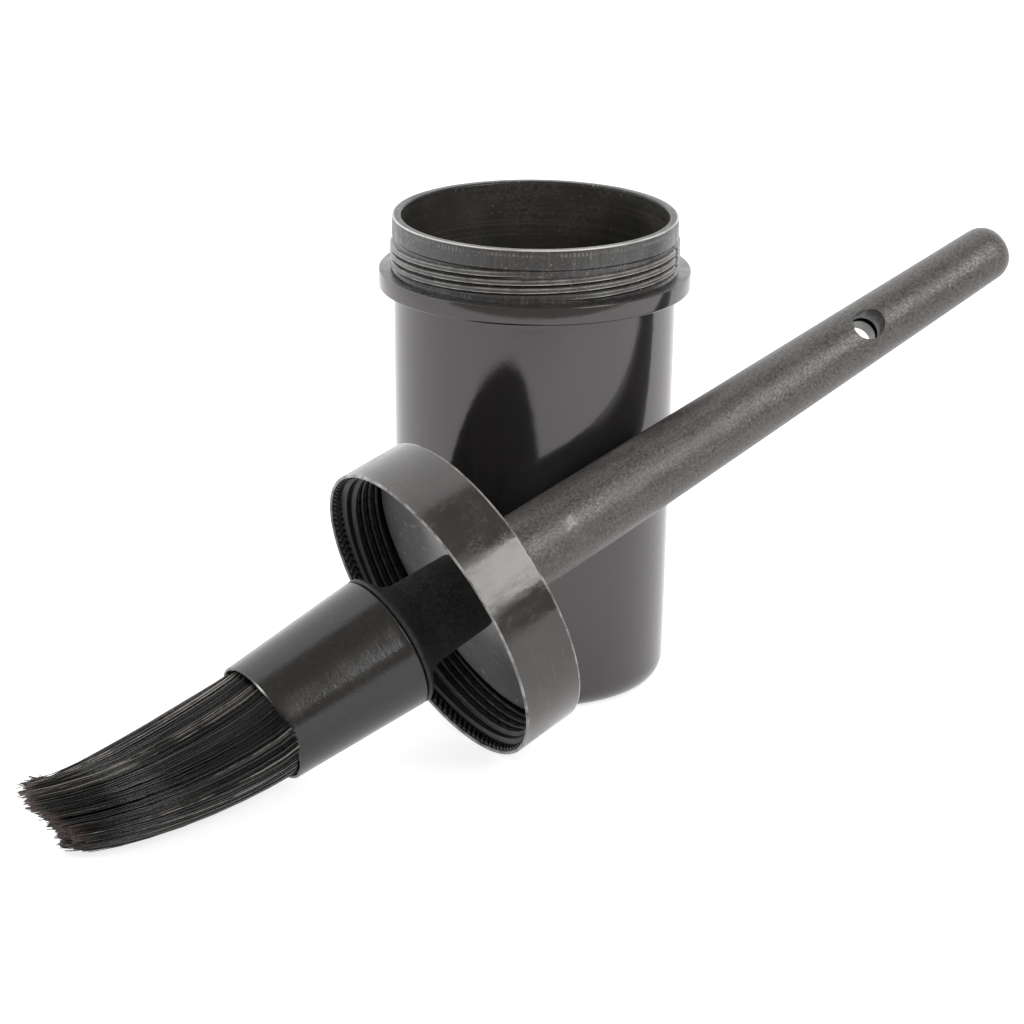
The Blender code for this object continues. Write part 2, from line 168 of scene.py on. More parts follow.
# Studio, with lengths in metres and power in watts
FLOOR_FRONT = Vector((-0.509, -0.861, 0.0))
FLOOR_FRONT_REACH = 0.34
FLOOR_BACK_REACH = 6.0
FLOOR_HALF_WIDTH = 4.0
FLOOR_GREY = 0.62
FLOOR_GLOW = 0.75
ROOM_FRONT = (0.49, 0.455, 0.43, 1.0)
ROOM_BACK = (1.58, 1.575, 1.58, 1.0)
ROOM_TURN_START = 0.02
ROOM_TURN_END = 0.18
WHITE = (1.0, 1.0, 1.0, 1.0)
SOFTBOX_TARGET = Vector((-0.048, -0.071, 0.051))
SOFTBOX_WAY = Vector((0.30, -0.79, 0.53))
SOFTBOX_DISTANCE = 1.2
SOFTBOX_WIDTH = 0.55
SOFTBOX_HEIGHT = 0.70
SOFTBOX_POWER = 7.0

# Camera, fitted to the outlines of the jar, the cap, the ferrule and the handle
CAMERA_PLACE = Vector((-0.80219, -1.31300, 0.50610))
CAMERA_TILT = math.radians(16.8946)
CAMERA_YAW = math.radians(31.2528)
CAMERA_ROLL = math.radians(-0.6415)
FOCAL_PIXELS = 7000.0
PICTURE_PIXELS = 1024.0
SENSOR_MILLIMETRES = 36.0


# Mesh helpers

def arc(centre_r, centre_z, radius, start, end, steps):
    """Profile points on a circular arc, with angles in degrees from the +r direction."""
    angles = np.radians(np.linspace(start, end, steps + 1))
    return [(centre_r + radius * math.cos(a), centre_z + radius * math.sin(a)) for a in angles]


def around(count):
    """Even angles once round an axis."""
    return np.linspace(0.0, math.tau, count, endpoint=False)


def loop(angles, radius, height):
    """One ring of points about local Z.  radius and height may be numbers or arrays."""
    points = np.zeros((len(angles), 3))
    points[:, 0] = radius * np.cos(angles)
    points[:, 1] = radius * np.sin(angles)
    points[:, 2] = height
    return points


def turned(angles, profile):
    """Rings for a plain turned profile; a point on the axis becomes a single vertex."""
    rings = []
    for radius, height in profile:
        if radius < 1e-9:
            rings.append(np.array([[0.0, 0.0, height]]))
        else:
            rings.append(loop(angles, radius, height))
    return rings


def stitch(first_a, count_a, first_b, count_b):
    """Faces between two rings whose counts are equal, or where one is a multiple of the other or 1."""
    faces = []
    if count_a == count_b:
        for i in range(count_a):
            j = (i + 1) % count_a
            faces.append((first_a + i, first_a + j, first_b + j, first_b + i))
    elif count_b == 1:
        for i in range(count_a):
            faces.append((first_a + i, first_a + (i + 1) % count_a, first_b))
    elif count_a == 1:
        for i in range(count_b):
            faces.append((first_a, first_b + (i + 1) % count_b, first_b + i))
    elif count_a > count_b:
        ratio = count_a // count_b
        for j in range(count_b):
            for i in range(ratio):
                k = j * ratio + i
                faces.append((first_a + k, first_a + (k + 1) % count_a, first_b + j))
            after = ((j + 1) * ratio) % count_a
            faces.append((first_a + after, first_b + (j + 1) % count_b, first_b + j))
    else:
        faces = [tuple(reversed(face)) for face in stitch(first_b, count_b, first_a, count_a)]
    return faces


def ring_object(name, rings, placement, smooth_angle=35.0):
    """Mesh object made of successive rings, closed back on the first one, and the ring of each face."""
    starts = np.cumsum([0] + [len(r) for r in rings])
    faces = []
    owners = []
    for k, ring in enumerate(rings):
        after = (k + 1) % len(rings)
        if len(ring) == 1 and len(rings[after]) == 1:
            continue
        new = stitch(int(starts[k]), len(ring), int(starts[after]), len(rings[after]))
        faces += new
        owners += [k] * len(new)
    mesh = bpy.data.meshes.new(name)
    mesh.from_pydata(np.concatenate(rings).tolist(), [], faces)
    mesh.validate()
    if signed_volume(mesh) < 0.0:
        mesh.flip_normals()
    mesh.shade_smooth()
    mesh.set_sharp_from_angle(angle=math.radians(smooth_angle))
    item = bpy.data.objects.new(name, mesh)
    bpy.context.collection.objects.link(item)
    item.matrix_world = placement
    return item, np.array(owners)


def signed_volume(mesh):
    """Volume of a closed mesh, negative where its faces point inward."""
    mesh.calc_loop_triangles()
    points = np.empty(len(mesh.vertices) * 3)
    mesh.vertices.foreach_get("co", points)
    points = points.reshape(-1, 3)
    corners = np.empty(len(mesh.loop_triangles) * 3, dtype=np.int32)
    mesh.loop_triangles.foreach_get("vertices", corners)
    a, b, c = points[corners.reshape(-1, 3)].transpose(1, 0, 2)
    return float(np.einsum("ij,ij->i", a, np.cross(b, c)).sum() / 6.0)


def paint(mesh, name, values):
    """Store one number per vertex for the materials to read."""
    layer = mesh.attributes.new(name, "FLOAT", "POINT")
    layer.data.foreach_set("value", np.asarray(values, dtype=np.float32))


class PaintedRings:
    """Successive rings of a turned piece, each with numbers for the materials to read."""

    def __init__(self, *paints):
        self.rings = []
        self.paints = {name: [] for name in paints}

    def add(self, ring, **shares):
        self.rings.append(ring)
        for name, rows in self.paints.items():
            rows.append(np.broadcast_to(shares.get(name, 0.0), len(ring)))

    def build(self, name, placement, smooth_angle=35.0):
        item, owners = ring_object(name, self.rings, placement, smooth_angle)
        for paint_name, rows in self.paints.items():
            paint(item.data, paint_name, np.concatenate(rows))
        return item, owners


def smooth_step(x, low, high):
    t = np.clip((x - low) / (high - low), 0.0, 1.0)
    return t * t * (3.0 - 2.0 * t)


def helix_height(angles, level, start, top, turns, crest, foot):
    """Height from 0 to 1 of the screw ridges at one level, for every angle of a ring.

    Each ridge starts at level top and winds down turns times.  The first one starts at angle start.
    """
    lead = THREAD_STARTS * PITCH
    taper = 0.30
    height = np.zeros(len(angles))
    for first in range(THREAD_STARTS):
        back = np.mod(start + math.tau * first / THREAD_STARTS - angles, math.tau)
        for k in range(int(math.ceil(turns)) + 1):
            wound = back + math.tau * k
            middle = top - lead * wound / math.tau
            ends = smooth_step(wound, 0.0, taper) * smooth_step(math.tau * turns - wound, 0.0, taper)
            height = np.maximum(height, ends * (1.0 - smooth_step(np.abs(level - middle), crest, foot)))
    return height


# Node helpers

def new_node(tree, kind, **settings):
    item = tree.nodes.new(kind)
    for key, value in settings.items():
        setattr(item, key, value)
    return item


class Surface:
    """A Principled material whose inputs are driven by procedural textures."""

    def __init__(self, name):
        self.material = bpy.data.materials.new(name)
        self.material.use_nodes = True
        self.tree = self.material.node_tree
        self.shader = self.tree.nodes["Principled BSDF"]
        self.place = self.node("ShaderNodeTexCoord").outputs["Object"]

    def node(self, kind, **settings):
        return new_node(self.tree, kind, **settings)

    def link(self, source, target):
        self.tree.links.new(source, target)

    def set(self, **values):
        for key, value in values.items():
            self.shader.inputs[key.replace("_", " ")].default_value = value

    def stretched(self, x, y, z, turn=(0.0, 0.0, 0.0)):
        mapping = self.node("ShaderNodeMapping")
        mapping.inputs["Scale"].default_value = (x, y, z)
        mapping.inputs["Rotation"].default_value = turn
        self.link(self.place, mapping.inputs["Vector"])
        return mapping.outputs["Vector"]

    def noise(self, scale, detail=3.0, roughness=0.55, vector=None):
        item = self.node("ShaderNodeTexNoise")
        item.inputs["Scale"].default_value = scale
        item.inputs["Detail"].default_value = detail
        item.inputs["Roughness"].default_value = roughness
        self.link(vector or self.place, item.inputs["Vector"])
        return item.outputs["Fac"]

    def ramp(self, source, low, high, start=0.0, end=1.0):
        item = self.node("ShaderNodeMapRange")
        item.inputs["From Min"].default_value = low
        item.inputs["From Max"].default_value = high
        item.inputs["To Min"].default_value = start
        item.inputs["To Max"].default_value = end
        self.link(source, item.inputs["Value"])
        return item.outputs["Result"]

    def math(self, operation, first, second):
        item = self.node("ShaderNodeMath", operation=operation)
        for socket, value in zip(item.inputs, (first, second)):
            if isinstance(value, (int, float)):
                socket.default_value = value
            else:
                self.link(value, socket)
        return item.outputs["Value"]

    def times(self, first, second):
        return self.math("MULTIPLY", first, second)

    def plus(self, first, second):
        return self.math("ADD", first, second)

    def square(self, source):
        return self.times(source, source)

    def split(self, vector):
        """Outputs X, Y and Z of a vector."""
        item = self.node("ShaderNodeSeparateXYZ")
        self.link(vector, item.inputs["Vector"])
        return item.outputs

    def mix(self, factor, first, second):
        item = self.node("ShaderNodeMix", data_type="RGBA")
        self.link(factor, item.inputs["Factor"])
        for socket, value in ((item.inputs["A"], first), (item.inputs["B"], second)):
            if isinstance(value, tuple):
                socket.default_value = (*value, 1.0)
            else:
                self.link(value, socket)
        return item.outputs["Result"]

    def stripes(self, count):
        """Wave from 0 to 1 that repeats count times about local Z."""
        parts = self.split(self.place)
        angle = self.math("ARCTAN2", parts["Y"], parts["X"])
        wave = self.math("SINE", self.times(angle, float(count)), 0.0)
        return self.ramp(wave, -1.0, 1.0)

    def toward(self, angle):
        """Cosine between one direction across local Z and the way each place lies from the axis."""
        across = self.node("ShaderNodeVectorMath", operation="MULTIPLY")
        self.link(self.place, across.inputs[0])
        across.inputs[1].default_value = (1.0, 1.0, 0.0)
        outward = self.node("ShaderNodeVectorMath", operation="NORMALIZE")
        self.link(across.outputs["Vector"], outward.inputs[0])
        share = self.node("ShaderNodeVectorMath", operation="DOT_PRODUCT")
        self.link(outward.outputs["Vector"], share.inputs[0])
        share.inputs[1].default_value = (math.cos(angle), math.sin(angle), 0.0)
        return share.outputs["Value"]

    def painted(self, name):
        return self.node("ShaderNodeAttribute", attribute_name=name).outputs["Fac"]

    def colour(self, source):
        self.link(source, self.shader.inputs["Base Color"])

    def roughness(self, source):
        self.link(source, self.shader.inputs["Roughness"])

    def specular(self, source):
        self.link(source, self.shader.inputs["Specular IOR Level"])

    def patch(self, place, radius):
        """Soft blot from 0 to 1 about one place on the surface, with a ragged edge."""
        gap = self.node("ShaderNodeVectorMath", operation="DISTANCE")
        self.link(self.place, gap.inputs[0])
        gap.inputs[1].default_value = place
        uneven = self.ramp(self.noise(700.0, 3.0), 0.3, 0.7, 0.0, radius)
        ragged = self.plus(gap.outputs["Value"], uneven)
        return self.ramp(ragged, radius * 1.3, radius * 0.8)

    def bump(self, *layers):
        """Stack bump layers given as (height, strength, distance)."""
        normal = None
        for height, strength, distance in layers:
            item = self.node("ShaderNodeBump")
            item.inputs["Strength"].default_value = strength
            item.inputs["Distance"].default_value = distance
            self.link(height, item.inputs["Height"])
            if normal is not None:
                self.link(normal, item.inputs["Normal"])
            normal = item.outputs["Normal"]
        self.link(normal, self.shader.inputs["Normal"])

    def scratches(self, across, along, turn, low=0.62, high=0.70):
        """Thin bright lines: noise drawn out along one direction and cut high."""
        lines = self.noise(1.0, 2.0, 0.5, self.stretched(across, across, along, turn))
        return self.ramp(lines, low, high)


def jar_gloss():
    s = Surface("jar_gloss_black")
    s.set(Specular_IOR_Level=0.90, Specular_Tint=(1.0, 0.955, 0.962, 1.0))
    cloud = s.noise(45.0, 3.0)
    s.colour(s.mix(s.ramp(cloud, 0.35, 0.7), (0.0150, 0.0152, 0.0158), (0.0205, 0.0196, 0.0192)))
    smear = s.noise(1.0, 4.0, 0.6, s.stretched(60.0, 60.0, 18.0))
    s.roughness(s.ramp(smear, 0.3, 0.75, 0.085, 0.17))
    s.bump((s.noise(420.0, 2.0), 0.05, 0.0004))
    return s.material


def jar_neck():
    s = Surface("jar_neck_black")
    grain = s.noise(900.0, 3.0)
    streaks = s.noise(1.0, 3.0, 0.6, s.stretched(1100.0, 1100.0, 130.0))
    patches = s.ramp(s.noise(300.0, 3.0), 0.35, 0.65, 0.35, 1.0)
    base = s.mix(s.ramp(grain, 0.35, 0.75), (0.0200, 0.0200, 0.0202), (0.0430, 0.0420, 0.0405))
    base = s.mix(s.ramp(streaks, 0.50, 0.72, 0.0, 0.7), base, (0.095, 0.093, 0.090))
    # Painted shade: the narrow line under each ridge and the inner bend of the lip are darkened, and
    # their reflection is turned down
    dull = s.painted("dull")
    base = s.mix(dull, base, (0.0040, 0.0040, 0.0040))
    # Painted highlights along the upper and lower edges of the ridges, in patches, with wear
    highlit_and_worn = s.mix(s.times(s.painted("crest"), patches), base, (0.580, 0.570, 0.555))
    ticks = s.times(s.painted("tick"), s.stripes(NECK_TICKS))
    ticks = s.times(ticks, s.ramp(s.noise(420.0, 2.0), 0.38, 0.60))
    highlit_and_worn = s.mix(ticks, highlit_and_worn, (0.150, 0.147, 0.142))
    # Painted highlight along the lip's rounded outer edge, ragged
    rim = s.times(s.painted("rim"), s.ramp(s.noise(55.0, 2.0), 0.35, 0.62, 0.35, 1.0))
    highlit_and_worn = s.mix(rim, highlit_and_worn, (0.720, 0.715, 0.705))
    specks = s.ramp(s.noise(1700.0, 2.0), 0.65, 0.69)
    s.colour(s.mix(specks, highlit_and_worn, (0.230, 0.225, 0.218)))
    s.roughness(s.ramp(s.noise(150.0, 4.0), 0.3, 0.7, 0.24, 0.42))
    s.specular(s.ramp(dull, 0.0, 1.0, 0.75, 0.10))
    s.bump((grain, 0.16, 0.0003), (ticks, 0.5, 0.0003))
    return s.material


def jar_inside():
    s = Surface("jar_inside_black")
    s.set(Specular_IOR_Level=0.40)
    rub = s.scratches(14.0, 1400.0, (0.07, 0.04, 0.0), 0.52, 0.70)
    cloud = s.noise(70.0, 4.0)
    base = s.mix(s.ramp(cloud, 0.3, 0.7), (0.0180, 0.0185, 0.0182), (0.0320, 0.0304, 0.0270))
    specks = s.ramp(s.noise(1500.0, 1.0), 0.74, 0.78)
    crumbs = s.ramp(s.noise(1300.0, 4.0, 0.7), 0.42, 0.68)
    crust = s.times(crumbs, s.ramp(s.noise(60.0, 2.0), 0.40, 0.62))
    base = s.mix(crust, s.mix(rub, base, (0.055, 0.049, 0.041)), (0.085, 0.079, 0.068))
    s.colour(s.mix(specks, base, (0.170, 0.158, 0.140)))
    s.roughness(s.ramp(cloud, 0.3, 0.7, 0.30, 0.50))
    s.bump((s.noise(500.0, 3.0), 0.08, 0.0003))
    return s.material


def cap_gloss():
    s = Surface("cap_gloss_black")
    s.set(Specular_IOR_Level=0.78, Specular_Tint=(1.0, 0.972, 0.955, 1.0))
    fine = s.scratches(45.0, 2600.0, (0.10, 0.06, 0.0), 0.62, 0.72)
    cross = s.scratches(70.0, 1500.0, (-0.22, 0.16, 0.3), 0.66, 0.73)
    patches = s.ramp(s.noise(75.0, 3.0), 0.46, 0.66)
    marks = s.times(s.math("MAXIMUM", fine, cross), patches)
    streaks = s.noise(1.0, 3.0, 0.6, s.stretched(750.0, 750.0, 110.0, (0.35, 0.25, 0.0)))
    cloud = s.noise(90.0, 4.0)
    drifts = s.ramp(s.noise(140.0, 4.0, 0.65), 0.50, 0.72)
    dust = s.times(drifts, s.ramp(s.noise(1500.0, 3.0), 0.40, 0.65))
    base = s.mix(s.ramp(cloud, 0.35, 0.7), (0.0140, 0.0138, 0.0136), (0.0230, 0.0212, 0.0198))
    base = s.mix(dust, base, (0.060, 0.053, 0.046))
    # Painted highlight along the lip and the rounded back edge, ragged, partly wear
    edge = s.times(s.painted("edge"), s.ramp(s.noise(300.0, 3.0), 0.35, 0.65, 0.12, 1.0))
    s.colour(s.mix(edge, s.mix(marks, base, (0.050, 0.047, 0.044)), (0.42, 0.412, 0.400)))
    handled = s.ramp(s.split(s.place)["Z"], 0.0, CAP_DEPTH, 0.10, -0.02)
    haze = s.plus(handled, s.ramp(cloud, 0.3, 0.7, 0.06, 0.15))
    rough = s.plus(haze, s.times(marks, 0.16))
    rough = s.plus(rough, s.ramp(streaks, 0.42, 0.68, 0.0, 0.10))
    s.roughness(s.plus(rough, s.times(dust, 0.20)))
    s.bump((marks, 0.06, 0.0001), (streaks, 0.03, 0.0003), (s.noise(700.0, 2.0), 0.06, 0.0003))
    return s.material


def cap_inside():
    s = Surface("cap_inside_black")
    s.set(Specular_IOR_Level=0.24)
    grain = s.noise(700.0, 3.0)
    base = s.mix(s.ramp(grain, 0.35, 0.75), (0.0060, 0.0060, 0.0062), (0.0105, 0.0104, 0.0102))
    # Painted highlight along the thread crests and tooth tips, with wear
    crest_wear_and_highlight = s.times(s.painted("crest"), s.ramp(s.noise(300.0, 3.0), 0.35, 0.65, 0.15, 0.9))
    s.colour(s.mix(crest_wear_and_highlight, base, (0.055, 0.054, 0.053)))
    s.roughness(s.ramp(s.noise(180.0, 3.0), 0.3, 0.7, 0.26, 0.42))
    s.bump((grain, 0.10, 0.0003))
    return s.material


def seal_gloss():
    s = Surface("seal_gloss_grey")
    s.set(Specular_IOR_Level=0.60)
    smear = s.noise(110.0, 4.0, 0.6)
    marks = s.scratches(500.0, 40.0, (0.0, 0.0, 0.4), 0.64, 0.72)
    base = s.mix(s.ramp(smear, 0.35, 0.7), (0.215, 0.219, 0.228), (0.275, 0.279, 0.288))
    # Painted reflection: the liner is lighter round the stem
    base = s.mix(s.painted("hub"), base, (0.480, 0.482, 0.490))
    s.colour(s.mix(marks, base, (0.400, 0.402, 0.407)))
    s.roughness(s.ramp(smear, 0.3, 0.7, 0.12, 0.26))
    s.bump((s.noise(350.0, 2.0), 0.05, 0.0003))
    return s.material


def handle_matt():
    s = Surface("handle_matt_grey")
    grain = s.noise(1500.0, 4.0, 0.75)
    mottle = s.noise(1.0, 5.0, 0.62, s.stretched(260.0, 260.0, 110.0))
    base = s.mix(s.ramp(grain, 0.36, 0.66), (0.022, 0.0211, 0.0201), (0.122, 0.117, 0.111))
    base = s.mix(s.ramp(mottle, 0.46, 0.70, 0.0, 0.30), base, (0.150, 0.144, 0.138))
    # Painted highlight: a pale streak along the side that faces the softbox, broken up by noise
    streak_breakup = s.noise(1.0, 3.0, 0.55, s.stretched(220.0, 220.0, 60.0))
    highlight_streak = s.times(s.ramp(s.toward(HIGHLIGHT_STREAK_ANGLE), 0.90, 0.995), s.ramp(streak_breakup, 0.35, 0.62))
    # Pale flecks all over, gathered thickly in the painted highlight streak
    flecks = s.ramp(s.noise(1900.0, 3.0, 0.7), 0.47, 0.64)
    flecks = s.times(flecks, s.ramp(highlight_streak, 0.0, 1.0, 0.06, 0.58))
    base = s.mix(flecks, base, (0.37, 0.362, 0.345))
    scuff_place = (SCUFF_REACH * math.cos(SCUFF_ANGLE), SCUFF_REACH * math.sin(SCUFF_ANGLE), SCUFF_LEVEL)
    scuff = s.patch(scuff_place, SCUFF_SIZE)
    base = s.mix(s.times(scuff, s.ramp(grain, 0.30, 0.65, 0.15, 0.8)), base, (0.42, 0.41, 0.39))
    # Painted shade: a dark band half way along the hanging hole, with its reflection turned off
    hole_shade = hole_painted_shade(s)
    s.colour(s.mix(hole_shade, base, (0.010, 0.010, 0.010)))
    s.specular(s.ramp(hole_shade, 0.0, 1.0, 0.55, 0.0))
    s.roughness(s.ramp(mottle, 0.3, 0.7, 0.30, 0.42))
    s.bump((grain, 0.30, 0.0003), (mottle, 0.12, 0.0004))
    return s.material


def hole_painted_shade(s):
    """Share from 0 to 1 of the painted shade, a dark band half way along the hanging hole."""
    middle = 0.5 * MM
    half_width = 1.6 * MM
    full_half_width = 1.0 * MM
    outer_reach = HANG_HOLE_RADIUS + 0.9 * MM
    full_reach = HANG_HOLE_RADIUS + 0.8 * MM
    turned_place = s.node("ShaderNodeMapping", vector_type="TEXTURE")
    turned_place.inputs["Rotation"].default_value = (0.0, 0.0, HANG_HOLE_ROLL)
    turned_place.inputs["Location"].default_value = (0.0, 0.0, HANG_HOLE_LEVEL)
    s.link(s.place, turned_place.inputs["Vector"])
    parts = s.split(turned_place.outputs["Vector"])
    depth = s.math("ABSOLUTE", s.math("SUBTRACT", parts["X"], middle), 0.0)
    reach = s.math("SQRT", s.plus(s.square(parts["Y"]), s.square(parts["Z"])), 0.0)
    inside = s.ramp(reach, outer_reach, full_reach)
    return s.times(s.ramp(depth, half_width, full_half_width), inside)


def stem_matt():
    s = Surface("stem_matt_black")
    s.set(Specular_IOR_Level=0.30)
    grain = s.noise(1300.0, 4.0, 0.6)
    s.colour(s.mix(s.ramp(grain, 0.35, 0.72), (0.0110, 0.0112, 0.0114), (0.0460, 0.0455, 0.0445)))
    s.roughness(s.ramp(s.noise(200.0, 3.0), 0.3, 0.7, 0.46, 0.60))
    s.bump((grain, 0.18, 0.0003))
    return s.material


def ferrule_satin():
    s = Surface("ferrule_satin_black")
    s.set(Specular_IOR_Level=0.57)
    grain = s.noise(1200.0, 3.0, 0.6)
    hoops = s.noise(1.0, 3.0, 0.6, s.stretched(25.0, 25.0, 900.0))
    specks = s.ramp(s.noise(2600.0, 1.0), 0.74, 0.78)
    base = s.mix(s.ramp(grain, 0.35, 0.75), (0.0070, 0.0070, 0.0069), (0.0170, 0.0164, 0.0155))
    base = s.mix(s.ramp(hoops, 0.55, 0.75, 0.0, 0.4), base, (0.027, 0.0252, 0.0225))
    edge = s.times(s.painted("edge"), s.ramp(s.noise(500.0, 2.0), 0.35, 0.65, 0.2, 0.8))
    base = s.mix(edge, s.mix(specks, base, (0.11, 0.105, 0.097)), (0.12, 0.12, 0.12))
    # Painted glint on the rim of the mouth
    s.colour(s.mix(s.painted("glint"), base, (0.85, 0.85, 0.84)))
    s.roughness(s.ramp(s.noise(160.0, 4.0), 0.3, 0.7, 0.15, 0.25))
    s.bump((grain, 0.10, 0.0003), (hoops, 0.04, 0.0003))
    return s.material


def bristle_hair():
    s = Surface("bristle_black_brown")
    s.set(Specular_IOR_Level=0.55)
    tint = s.painted("tint")
    along = s.painted("along")
    dark = s.mix(s.ramp(tint, 0.55, 0.80), (0.0014, 0.0015, 0.0016), (0.0200, 0.0182, 0.0160))
    # Pale stretches on some strands: paler hairs, with painted highlights along them
    pale = s.times(s.ramp(tint, 0.915, 0.93), s.ramp(s.noise(110.0, 3.0), 0.42, 0.56))
    base = s.mix(pale, dark, (0.270, 0.252, 0.222))
    ends = s.times(s.ramp(along, 0.965, 0.995), s.ramp(tint, 0.30, 0.60, 0.10, 1.0))
    s.colour(s.mix(ends, base, (0.120, 0.072, 0.054)))
    s.roughness(s.ramp(s.noise(900.0, 2.0), 0.3, 0.7, 0.17, 0.32))
    return s.material


def set_resin():
    s = Surface("set_resin_dark")
    cloud = s.noise(300.0, 4.0)
    s.colour(s.mix(s.ramp(cloud, 0.3, 0.7), (0.020, 0.018, 0.015), (0.045, 0.040, 0.033)))
    s.roughness(s.ramp(cloud, 0.3, 0.7, 0.4, 0.6))
    s.bump((cloud, 0.2, 0.0005))
    return s.material


# Jar

def jar_angles():
    """Angles round the jar, with extra ones beside the two mould seams."""
    plain = around(240)
    offsets = np.radians([-0.9, -0.45, -0.2, 0.0, 0.2, 0.45, 0.9])
    extra = np.concatenate([SEAM_ANGLE + offsets, SEAM_ANGLE - math.pi + offsets])
    keep = np.ones(len(plain), dtype=bool)
    for angle in (SEAM_ANGLE, SEAM_ANGLE - math.pi):
        keep &= np.abs(np.mod(plain - angle + math.pi, math.tau) - math.pi) > math.radians(1.1)
    return np.sort(np.mod(np.concatenate([plain[keep], extra]), math.tau))


def seam_share(angles, width_degrees):
    """Share from 0 to 1 of the mould seams at every angle."""
    share = np.zeros(len(angles))
    for angle in (SEAM_ANGLE, SEAM_ANGLE - math.pi):
        gap = np.mod(angles - angle + math.pi, math.tau) - math.pi
        share = np.maximum(share, np.exp(-(gap / math.radians(width_degrees)) ** 2))
    return share


def jar_thread(angles, level, shift, crest, foot):
    """Height from 0 to 1 of the neck's ridges, or of a line that runs beside them at a shift."""
    top = JAR_THREAD_TOP + shift
    return helix_height(angles, level, JAR_THREAD_START, top, JAR_THREAD_TURNS, crest, foot)


def body_radius(share):
    """Outer radius of the body at a share of the height of the flange."""
    return BODY_FOOT_RADIUS + (BODY_TOP_RADIUS - BODY_FOOT_RADIUS) * share


def jar_outside():
    """Profile from the middle of the base to the top of the flange."""
    edge = 0.5 * MM
    top_edge = 0.2 * MM
    corner = 0.5 * MM
    profile = [(0.0, 0.0), (BASE_FLAT_RADIUS * 0.55, 0.0)]
    profile += arc(BASE_FLAT_RADIUS, BASE_ROUND, BASE_ROUND, -90.0, -1.3, 14)
    profile += [(body_radius(share), FLANGE_FOOT * share) for share in np.linspace(0.2, 0.98, 8)]
    profile += arc(BODY_TOP_RADIUS + corner, FLANGE_FOOT - corner, corner, 180.0, 90.0, 4)
    profile += arc(FLANGE_RADIUS - edge, FLANGE_FOOT + edge, edge, -90.0, 0.0, 5)
    profile += arc(FLANGE_RADIUS - top_edge, FLANGE_TOP - top_edge, top_edge, 0.0, 90.0, 4)
    return profile


def jar_bore():
    """Profile from the foot of the neck, inside, to the middle of the floor."""
    inner_round = BASE_ROUND - JAR_WALL
    shares = np.linspace(1.0, 0.12, 10)
    profile = [(body_radius(share) - JAR_WALL, FLANGE_FOOT * share) for share in shares]
    profile += arc(BASE_FLAT_RADIUS, JAR_FLOOR + inner_round, inner_round, 0.0, -90.0, 10)
    profile += [(BASE_FLAT_RADIUS * 0.5, JAR_FLOOR), (0.0, JAR_FLOOR)]
    return profile


def add_neck(shell, angles):
    """Threaded neck, with the ridges and the mould seams as relief, and the band with ticks above it."""
    seam = seam_share(angles, 0.35)
    broken = 1.0 - seam_share(angles, 1.0)
    for level in np.linspace(FLANGE_TOP + 0.15 * MM, BAND_FOOT, 132):
        fillet = 1.0 - smooth_step(level, FLANGE_TOP, FLANGE_TOP + 0.6 * MM)
        ridge = broken * jar_thread(angles, level, 0.0, 0.42 * MM, 0.76 * MM)
        # Lines of painted highlight along the upper and lower edges of each ridge
        above = jar_thread(angles, level, 0.46 * MM, 0.05 * MM, 0.22 * MM)
        below = jar_thread(angles, level, -0.44 * MM, 0.08 * MM, 0.26 * MM)
        # Line of painted shade under each ridge
        gap = jar_thread(angles, level, -0.88 * MM, 0.16 * MM, 0.34 * MM)
        rise = smooth_step(level, BAND_FOOT - 0.7 * MM, BAND_FOOT)
        radius = NECK_ROOT_RADIUS + ridge * JAR_THREAD_HEIGHT + fillet * NECK_FILLET - seam * 0.16 * MM
        radius += rise * (LIP_RADIUS - NECK_ROOT_RADIUS)
        shell.add(loop(angles, radius, level), crest=broken * np.maximum(0.55 * above, below), dull=gap)
    for level in np.linspace(BAND_FOOT, LIP_TOP, 16)[1:]:
        row = 1.0 - smooth_step(abs(level - LIP_TOP + 0.9 * MM), 0.2 * MM, 0.5 * MM)
        shell.add(loop(angles, LIP_RADIUS - seam * 0.12 * MM, level), tick=row)


def add_lip(shell, angles):
    """Rounded lip, with a painted highlight along its outer edge and painted shade on its inner bend."""
    inner_edge = 0.5 * MM
    lip = arc(LIP_RADIUS - LIP_EDGE, LIP_TOP, LIP_EDGE, 0.0, 90.0, 6)[1:]
    shines = [0.2, 0.8, 1.0, 1.0, 1.0, 0.6]
    lip += [(LIP_RADIUS - LIP_EDGE - 0.3 * MM, JAR_HEIGHT)]
    lip += arc(LIP_RADIUS - JAR_WALL + inner_edge, JAR_HEIGHT - inner_edge, inner_edge, 90.0, 180.0, 5)
    shines += [0.0] * (len(lip) - len(shines))
    for ring, shine in zip(turned(angles, lip), shines):
        shell.add(ring, rim=shine, dull=0.6 * (1.0 - shine))


def build_jar():
    angles = jar_angles()
    shell = PaintedRings("crest", "tick", "rim", "dull")
    for ring in turned(angles, jar_outside()):
        shell.add(ring)
    neck_first = len(shell.rings)
    add_neck(shell, angles)
    add_lip(shell, angles)
    inside_first = len(shell.rings)
    for ring in turned(angles, jar_bore()):
        shell.add(ring)
    item, owners = shell.build("jar_shell", UPRIGHT)
    for material in (jar_gloss(), jar_neck(), jar_inside()):
        item.data.materials.append(material)

    # The inside's material starts on the last bend of the lip
    slots = np.where(owners >= inside_first - 2, 2, np.where(owners >= neck_first - 1, 1, 0))
    item.data.polygons.foreach_set("material_index", slots.astype(np.int32))
    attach(item, "jar")
    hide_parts("jar")


# Cap

